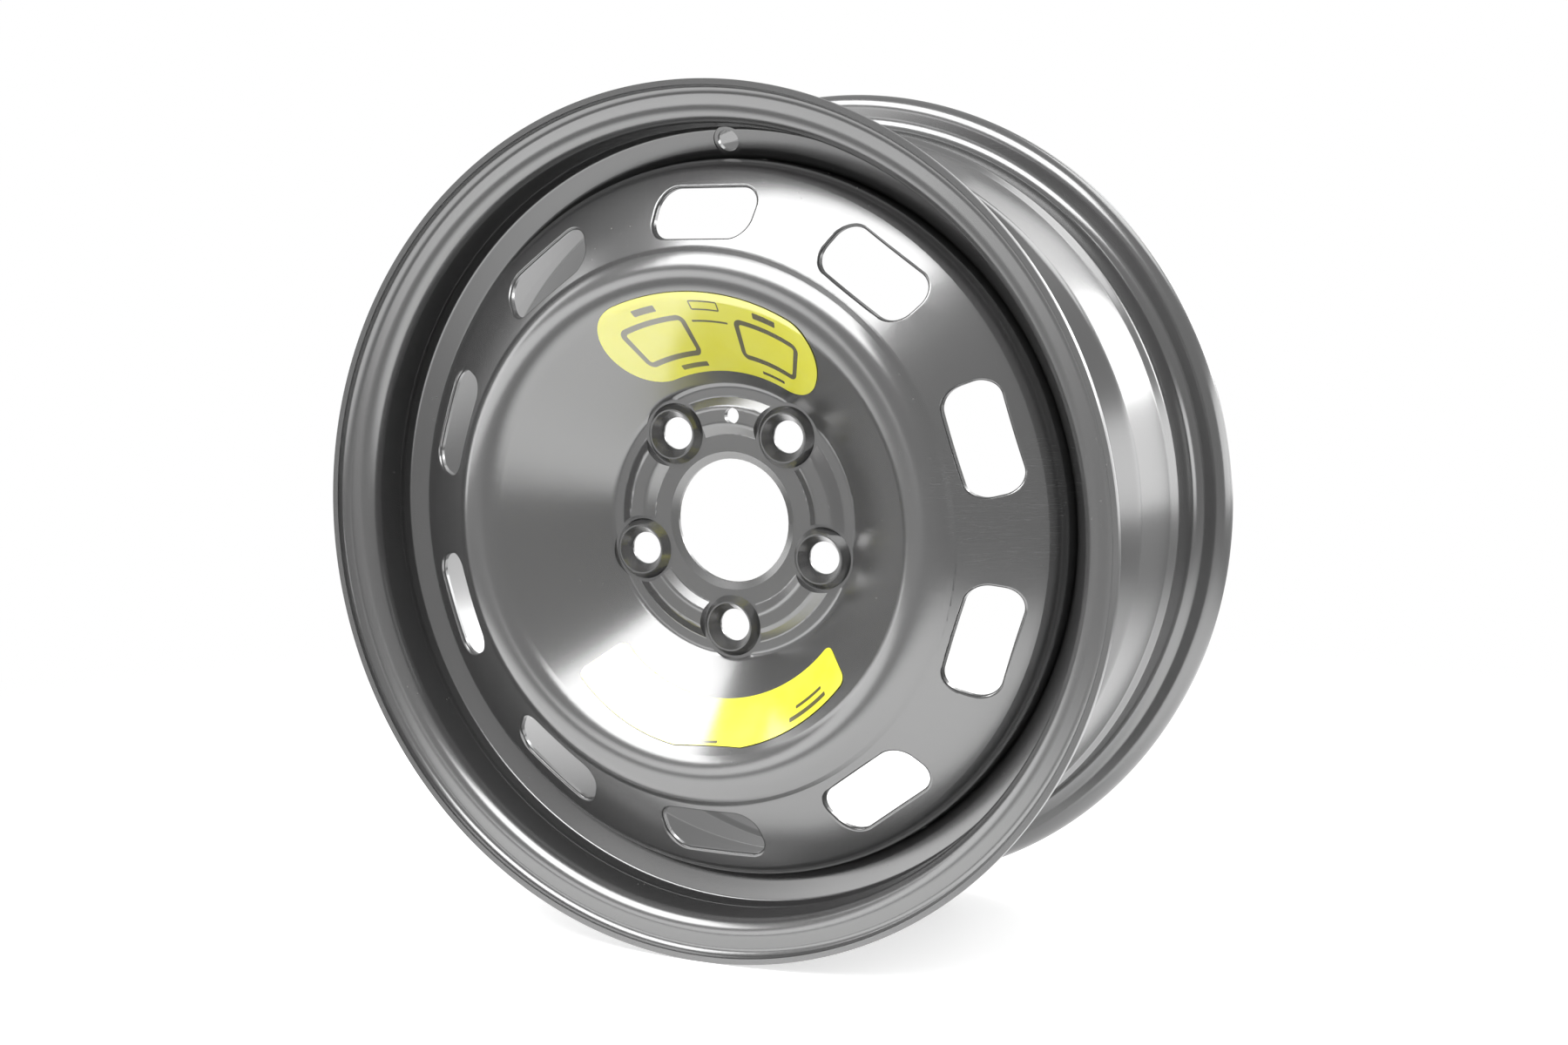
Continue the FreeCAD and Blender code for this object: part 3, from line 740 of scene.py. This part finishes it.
@dataclass
class Rim:
    """The rolled rim, spun from the section of its sheet.

    Sizes are in millimetres and degrees, but arc_step and sharp are in radians.
    """

    node: Piece = Piece.RIM
    name: str = "rolled_rim"
    width: float = 165.1
    middle: float = 48.0
    bead_diameter: float = 405.6
    flange_height: float = 17.7
    flange_curl: float = 7.5
    lip_angle: float = 8.0
    lip_length: float = 0.8
    sheet: float = 2.8
    bead_width: float = 20.0
    bead_taper: float = 5.0
    bead_toe: float = 6.5
    hump_height: float = 1.4
    hump_width: float = 12.0
    hump_round: float = 6.0
    well_depth: float = 17.0
    well_width: float = 42.0
    wall_run: float = 5.8
    wall_drop: float = 2.9
    ramp_run: float = 15.0
    ramp_drop: float = 6.4
    well_round: float = 5.2
    ramp_round: float = 9.0
    valve_hole: float = 11.5
    valve_land: float = 15.6
    valve_land_depth: float = 0.5
    cut_margin: float = 10.0
    arc_step: float = math.radians(6.0)
    edge_strip: float = 0.3
    steps_round: int = 280
    hole_steps: int = 64
    sharp: float = math.radians(40.0)

    def build(self, coat: bpy.types.Material) -> bpy.types.Object:
        """Spin the rim and pierce its valve hole.

        Args:
            coat: its finish.

        Returns:
            The rim's object.
        """
        line = self.rounded(self.bends())
        tyre_side = [place for place, _ in line]
        axis_side = [place + inward * self.sheet for place, inward in reversed(line)]
        thing = add_piece(self.name, self.spin(tyre_side + axis_side), self.node)
        self.pierce(thing)
        shade_smooth(thing.data)
        thing.data.set_sharp_from_angle(angle=self.sharp)
        thing.data.materials.clear()
        thing.data.materials.append(coat)
        return thing

    def wall(self) -> tuple[Bend, Bend]:
        """Give both ends of the front wall of the well.

        Returns:
            Its top and its foot.
        """
        bead = self.bead_diameter / 2
        top = self.middle - self.width / 2 + self.bead_width + self.hump_width
        return (
            Bend(bead - self.wall_drop, top, self.well_round),
            Bend(bead - self.well_depth, top + self.wall_run, self.well_round),
        )

    def half(self, side: int) -> list[Bend]:
        """Give the corners of one side of the rim on its tyre side, from the lip inwards.

        Args:
            side: -1 for the front, 1 for the rear.

        Returns:
            The corners.
        """
        bead, half = self.bead_diameter / 2, self.width / 2
        lip = math.radians(self.lip_angle)
        curl = bead + self.flange_height - self.flange_curl
        rise = self.flange_curl * (1 + math.sin(lip))
        tip = curl + self.flange_curl * math.cos(lip) - self.lip_length * math.sin(lip)
        tip_out = half + rise + self.lip_length * math.cos(lip)
        seat_end = bead - self.bead_width * math.tan(math.radians(self.bead_taper))
        inner = half - self.bead_width
        hump_middle = inner - self.hump_width / 2
        return [
            Bend(tip, self.middle + side * tip_out),
            Bend(curl + rise / math.cos(lip), self.middle + side * half, self.flange_curl),
            Bend(bead, self.middle + side * half, self.bead_toe),
            Bend(seat_end, self.middle + side * inner, self.hump_round),
            Bend(seat_end + self.hump_height, self.middle + side * hump_middle, self.hump_round),
        ]

    def bends(self) -> list[Bend]:
        """Give every corner of the section on its tyre side.

        Returns:
            The corners from the front lip to the rear lip.
        """
        top, foot = self.wall()
        rear = foot.along + self.well_width
        ramp_reach = self.bead_diameter / 2 - self.ramp_drop
        ramp_top = Bend(ramp_reach, rear + self.ramp_run, self.ramp_round)
        rear_hump = Bend(top.reach, 2 * self.middle - top.along, self.hump_round)
        well = [top, foot, Bend(foot.reach, rear, self.ramp_round), ramp_top, rear_hump]
        return self.half(-1) + well + self.half(1)[::-1]

    def rounded(self, bends: list[Bend]) -> list[tuple[Vector, Vector]]:
        """Round a line at its corners.

        Args:
            bends: the corners.

        Returns:
            Points along the line, each with the direction towards the axis side of the sheet.
        """
        line = [self.end_of(bends[0], bends[0], bends[1])]
        for before, bend, after in zip(bends, bends[1:], bends[2:]):
            heading = (bend.place - before.place).normalized()
            turn = heading.angle_signed((after.place - bend.place).normalized())
            inward = Vector((-heading.y, heading.x))
            start = bend.place - heading * bend.radius * math.tan(abs(turn) / 2)
            centre = start + inward * math.copysign(bend.radius, -turn)
            steps = max(2, math.ceil(abs(turn) / self.arc_step))
            turns = [Matrix.Rotation(-turn * step / steps, 2) for step in range(steps + 1)]
            arc = [(centre + bent @ (start - centre), bent @ inward) for bent in turns]
            last, last_inward = arc[-1]
            strip = turns[-1] @ heading * self.edge_strip
            line.append((start - heading * self.edge_strip, inward))
            line.extend(arc)
            line.append((last + strip, last_inward))
        line.append(self.end_of(bends[-1], bends[-2], bends[-1]))
        return line

    @staticmethod
    def end_of(tip: Bend, before: Bend, after: Bend) -> tuple[Vector, Vector]:
        """Give one end of a line.

        Args:
            tip: the end.
            before: start of the straight run that it belongs to.
            after: end of that run.

        Returns:
            The end's point, with the direction towards the axis side of the sheet.
        """
        heading = (after.place - before.place).normalized()
        return tip.place, Vector((-heading.y, heading.x))

    def spin(self, section: list[Vector]) -> bpy.types.Mesh:
        """Spin a closed section about the axis.

        Args:
            section: distance from the axis and place along it, in millimetres.

        Returns:
            The mesh.
        """
        drawn = bmesh.new()
        rings = []
        for step in range(self.steps_round):
            turn = math.tau * step / self.steps_round
            across, up = math.sin(turn) * MILLIMETRE, math.cos(turn) * MILLIMETRE
            rings.append([
                drawn.verts.new((place.x * across, place.y * MILLIMETRE, place.x * up))
                for place in section
            ])
        skin(drawn, rings, closed=True)
        return mesh_from(drawn, self.name)

    def valve_cutter(self) -> bpy.types.Object:
        """Draw what the valve hole and the flat round it take away.

        Returns:
            The cutter's object, square to the front wall of the well.
        """
        land = self.valve_land_depth - self.sheet
        outline = [
            (-self.sheet - self.cut_margin, self.valve_land / 2),
            (land, self.valve_land / 2),
            (land, self.valve_hole / 2),
            (self.cut_margin, self.valve_hole / 2),
        ]
        turns = [math.tau * step / self.hole_steps for step in range(self.hole_steps)]
        drawn = bmesh.new()
        rings = [
            [
                drawn.verts.new((radius * math.cos(turn), radius * math.sin(turn), depth))
                for turn in turns
            ]
            for depth, radius in outline
        ]
        skin(drawn, rings, closed=False)
        cutter = add_object("valve_hole_cutter", mesh_from(drawn, "valve_hole_cutter"))
        top, foot = self.wall()
        slope = (foot.place - top.place).normalized()
        centre = (top.place + foot.place) / 2
        outward = Vector((0.0, -slope.x, slope.y)).normalized()
        cutter.matrix_world = (
            Matrix.Translation(Vector((0.0, centre.y, centre.x)) * MILLIMETRE)
            @ outward.to_track_quat("Z", "Y").to_matrix().to_4x4()
            @ Matrix.Scale(MILLIMETRE, 4)
        )
        return cutter

    def pierce(self, thing: bpy.types.Object) -> None:
        """Cut the valve hole.

        Args:
            thing: the rim's object.
        """
        cutter = self.valve_cutter()
        cut = thing.modifiers.new("valve_hole", "BOOLEAN")
        cut.operation, cut.solver, cut.object = "DIFFERENCE", "EXACT", cutter
        graph = bpy.context.evaluated_depsgraph_get()
        pierced = bpy.data.meshes.new_from_object(thing.evaluated_get(graph))
        thing.modifiers.remove(cut)
        thing.data = pierced
        bpy.data.objects.remove(cutter)


@dataclass
class Disc:
    """The stamped disc."""

    node: Piece = Piece.DISC

    def dress(self, coat: bpy.types.Material) -> None:
        """Coat the disc.

        Args:
            coat: its finish.
        """
        dress(self.node, coat)


@dataclass
class Welds:
    """Rippled weld runs in the corner between the skirt of the disc and the rim."""

    node: Piece = Piece.WELD_BEADS
    pitch: float = 2.6 * MILLIMETRE
    curl: float = 1.1 * MILLIMETRE
    bulge: float = 1.1 * MILLIMETRE
    ripple: float = 0.45
    taper: float = 5.0 * MILLIMETRE
    smallest_end: float = 0.45
    run_gap: float = math.radians(5.0)
    steps_per_ripple: int = 8
    steps_across: int = 10

    def build(self, coat: bpy.types.Material) -> bpy.types.Object:
        """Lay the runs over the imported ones.

        Args:
            coat: their finish.

        Returns:
            The runs' object.
        """
        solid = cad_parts[self.node.value]
        places = [solid.matrix_world @ corner.co for corner in solid.data.vertices]
        drawn = bmesh.new()
        for start, end in self.runs(places):
            self.add_run(drawn, places, start, end)
        mesh = mesh_from(drawn, "weld_runs")
        shade_smooth(mesh)
        mesh.materials.append(coat)
        return add_piece("weld_runs", mesh, self.node)

    def runs(self, places: list[Vector]) -> list[tuple[float, float]]:
        """Find where each run starts and ends round the axis.

        Args:
            places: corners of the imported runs.

        Returns:
            Start and end of each run, in radians.
        """
        turns = sorted(math.atan2(place.z, place.x) % math.tau for place in places)
        after = turns[1:] + turns[:1]
        gaps = [(following - turn) % math.tau for turn, following in zip(turns, after)]
        breaks = [index for index, gap in enumerate(gaps) if gap > self.run_gap]
        found = []
        for last, this in zip(breaks, breaks[1:] + breaks[:1]):
            start = after[last]
            found.append((start, start + (turns[this] - start) % math.tau))
        return found

    def add_run(
        self, drawn: bmesh.types.BMesh, places: list[Vector], start: float, end: float
    ) -> None:
        """Draw one run as a row of scales with thin ends.

        Args:
            drawn: the mesh to add to.
            places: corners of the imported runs.
            start: where the run starts, in radians.
            end: where it ends.
        """
        reaches = [math.hypot(place.x, place.z) for place in places]
        corner = Vector((max(reaches), min(place.y for place in places)))
        on_rim = Vector((corner.x, max(place.y for place in places)))
        on_skirt = Vector((min(reaches), corner.y))
        outward = Vector((-1.0, 1.0)).normalized()
        length = (end - start) * corner.x
        count = round(length / self.pitch) * self.steps_per_ripple
        rings = []
        for step in range(count + 1):
            along = length * step / count
            turn = start + (end - start) * step / count
            fullness = math.sqrt(min(1.0, along / self.taper, (length - along) / self.taper))
            size = self.smallest_end + (1.0 - self.smallest_end) * fullness
            ring = [corner]
            for index in range(self.steps_across + 1):
                share = index / self.steps_across
                arch = math.sin(math.pi * share)
                wave = abs(math.sin(math.pi * (along + self.curl * arch) / self.pitch))
                swell = self.bulge * arch * (1.0 - self.ripple * (1.0 - wave))
                ring.append(on_rim.lerp(on_skirt, share) + outward * swell)
            points = [corner + (point - corner) * size for point in ring]
            rings.append([
                drawn.verts.new((point.x * math.cos(turn), point.y, point.x * math.sin(turn)))
                for point in points
            ])
        skin(drawn, rings, closed=False)


@dataclass
class Labels:
    """The two film labels on the bowl."""

    films: tuple[tuple[Piece, LabelFilm], ...] = (
        (Piece.UPPER_LABEL, UPPER_FILM),
        (Piece.LOWER_LABEL, LOWER_FILM),
    )

    def dress(self, effects: Effects) -> None:
        """Print the labels.

        Args:
            effects: the shared effects.
        """
        for node, film in self.films:
            dress(node, film.material(effects))


@dataclass(frozen=True)
class Softbox:
    """One soft lamp that looks at the wheel.

    Azimuth is 0 in front of the wheel and grows to its right, elevation is above the hub, both in
    degrees. Distance, width and height are in metres, and power is in watts.
    """

    name: str
    azimuth: float
    elevation: float
    distance: float
    width: float
    height: float
    power: float

    def build(self) -> bpy.types.Object:
        """Hang the lamp.

        Returns:
            The lamp's object.
        """
        lamp = bpy.data.lights.new(self.name, "AREA")
        lamp.shape = "RECTANGLE"
        lamp.size = self.width
        lamp.size_y = self.height
        lamp.energy = self.power
        thing = add_object(self.name, lamp)
        turn, lift = math.radians(self.azimuth), math.radians(self.elevation)
        level = math.cos(lift)
        away = Vector((math.sin(turn) * level, -math.cos(turn) * level, math.sin(lift)))
        thing.location = away * self.distance
        thing.rotation_euler = away.to_track_quat("Z", "Y").to_euler()
        return thing


@dataclass
class Studio:
    """Floor, backdrop, lamps and camera."""

    floor_size: float = 60.0
    floor_colour: float = 0.80
    near_glow: float = 0.5
    near_mirrored: float = 1.0
    mirrored: float = 0.6
    glow_start: float = 0.25
    glow_end: float = 1.0
    fill: float = 0.45
    camera_place: Vector = field(default_factory=lambda: Vector((0.5702, -1.0753, 0.1469)))
    camera_back: Vector = field(default_factory=lambda: Vector((0.4468, -0.8864, 0.1211)))
    camera_right: Vector = field(default_factory=lambda: Vector((0.8935, 0.4489, -0.0106)))
    lens: float = 55.02
    sensor: float = 36.0
    lamps: list[Softbox] = field(default_factory=lambda: [
        Softbox("overhead_softbox", -10.0, 55.0, 2.1, 2.2, 1.3, 64.0),
        Softbox("front_left_panel", -45.0, 10.0, 2.5, 2.9, 0.9, 18.0),
        Softbox("left_panel", -98.0, 18.0, 2.5, 2.0, 2.0, 30.0),
        Softbox("right_panel", 104.0, 2.0, 2.5, 2.6, 1.4, 32.0),
        Softbox("rear_panel", 158.0, 10.0, 2.5, 2.4, 2.2, 34.0),
        Softbox("rear_strip", 154.0, 18.0, 2.3, 1.2, 0.5, 12.0),
        Softbox("rear_top_softbox", 138.0, 48.0, 2.3, 1.6, 0.9, 14.0),
    ])

    def build(self) -> None:
        """Build the whole studio."""
        bpy.context.scene.view_settings.view_transform = "Standard"
        self.build_floor()
        self.build_world()
        for lamp in self.lamps:
            lamp.build()
        self.build_camera()

    @staticmethod
    def by_ray(board: NodeBoard, seen: object, mirrored: object, other: object) -> Socket:
        """Choose a level by how a ray arrives.

        Args:
            board: the tree to add to.
            seen: level for rays straight from the camera.
            mirrored: level for rays that a gloss sends on.
            other: level for light on the object.

        Returns:
            The level's socket.
        """
        path = board.add("ShaderNodeLightPath").outputs
        unseen = board.mix(MixKind.VALUE, path["Is Glossy Ray"], other, mirrored)
        return board.mix(MixKind.VALUE, path["Is Camera Ray"], unseen, seen)

    def build_floor(self) -> None:
        """Lay a pale floor that fades into the white backdrop and keeps the wheel's shadow."""
        half, low = self.floor_size / 2, CAD_BOX[0].z
        mesh = bpy.data.meshes.new("studio_floor")
        corners = [(-half, -half, low), (half, -half, low), (half, half, low), (-half, half, low)]
        mesh.from_pydata(corners, [], [(0, 1, 2, 3)])
        floor = add_object("studio_floor", mesh)
        made, board, plain = new_finish("pale_studio_floor")
        board.tree.nodes.remove(plain)
        place = board.add("ShaderNodeTexCoord").outputs["Object"]
        flat = board.add("ShaderNodeVectorMath", operation="MULTIPLY")
        board.plug(flat, 0, place)
        board.plug(flat, 1, (1.0, 1.0, 0.0))
        reach = board.add("ShaderNodeVectorMath", operation="LENGTH")
        board.plug(reach, 0, flat.outputs[0])
        far = board.ramp(reach.outputs["Value"], (self.glow_start, self.glow_end))
        whole = (0.0, 1.0)
        seen = board.ramp(far, whole, self.near_glow, 1.0)
        mirrored = board.ramp(far, whole, self.near_mirrored, self.mirrored)
        shade = board.ramp(far, whole, self.floor_colour, 0.0)
        glow = self.by_ray(board, seen, mirrored, 0.0)
        emission = board.feed(board.add("ShaderNodeEmission"), Strength=glow)
        matt = board.feed(
            board.add("ShaderNodeBsdfDiffuse"),
            Color=board.mix(MixKind.COLOUR, shade, BLACK, WHITE),
        )
        both = board.add("ShaderNodeAddShader")
        board.plug(both, 0, emission.outputs[0])
        board.plug(both, 1, matt.outputs[0])
        board.plug(board.tree.nodes["Material Output"], "Surface", both.outputs[0])
        mesh.materials.append(made)

    def build_world(self) -> None:
        """Light the studio evenly, with a white backdrop that is dimmer where it is mirrored."""
        world = bpy.data.worlds.new("white_studio")
        world.use_nodes = True
        board = NodeBoard(world.node_tree)
        strength = self.by_ray(board, 1.0, self.mirrored, self.fill)
        backdrop = world.node_tree.nodes["Background"]
        board.feed(backdrop, Color=(*WHITE, 1.0), Strength=strength)
        bpy.context.scene.world = world

    def build_camera(self) -> None:
        """Set up the camera at the viewing angle."""
        camera = bpy.data.cameras.new("studio_camera")
        camera.lens = self.lens
        camera.sensor_width = self.sensor
        thing = add_object("studio_camera", camera)
        back = self.camera_back.normalized()
        right = (self.camera_right - back * self.camera_right.dot(back)).normalized()
        turn = Matrix((right, back.cross(right), back)).transposed().to_4x4()
        thing.matrix_world = Matrix.Translation(self.camera_place) @ turn
        bpy.context.scene.camera = thing


def main() -> None:
    """Dress the wheel and set up its studio."""
    logging.basicConfig(level=logging.INFO, format="%(name)s: %(message)s")
    effects = Effects()
    coat = BlackCoat().material(effects)
    Rim().build(coat)
    Disc().dress(coat)
    Welds().build(coat)
    Labels().dress(effects)
    Studio().build()


if __name__ == "__main__":
    main()
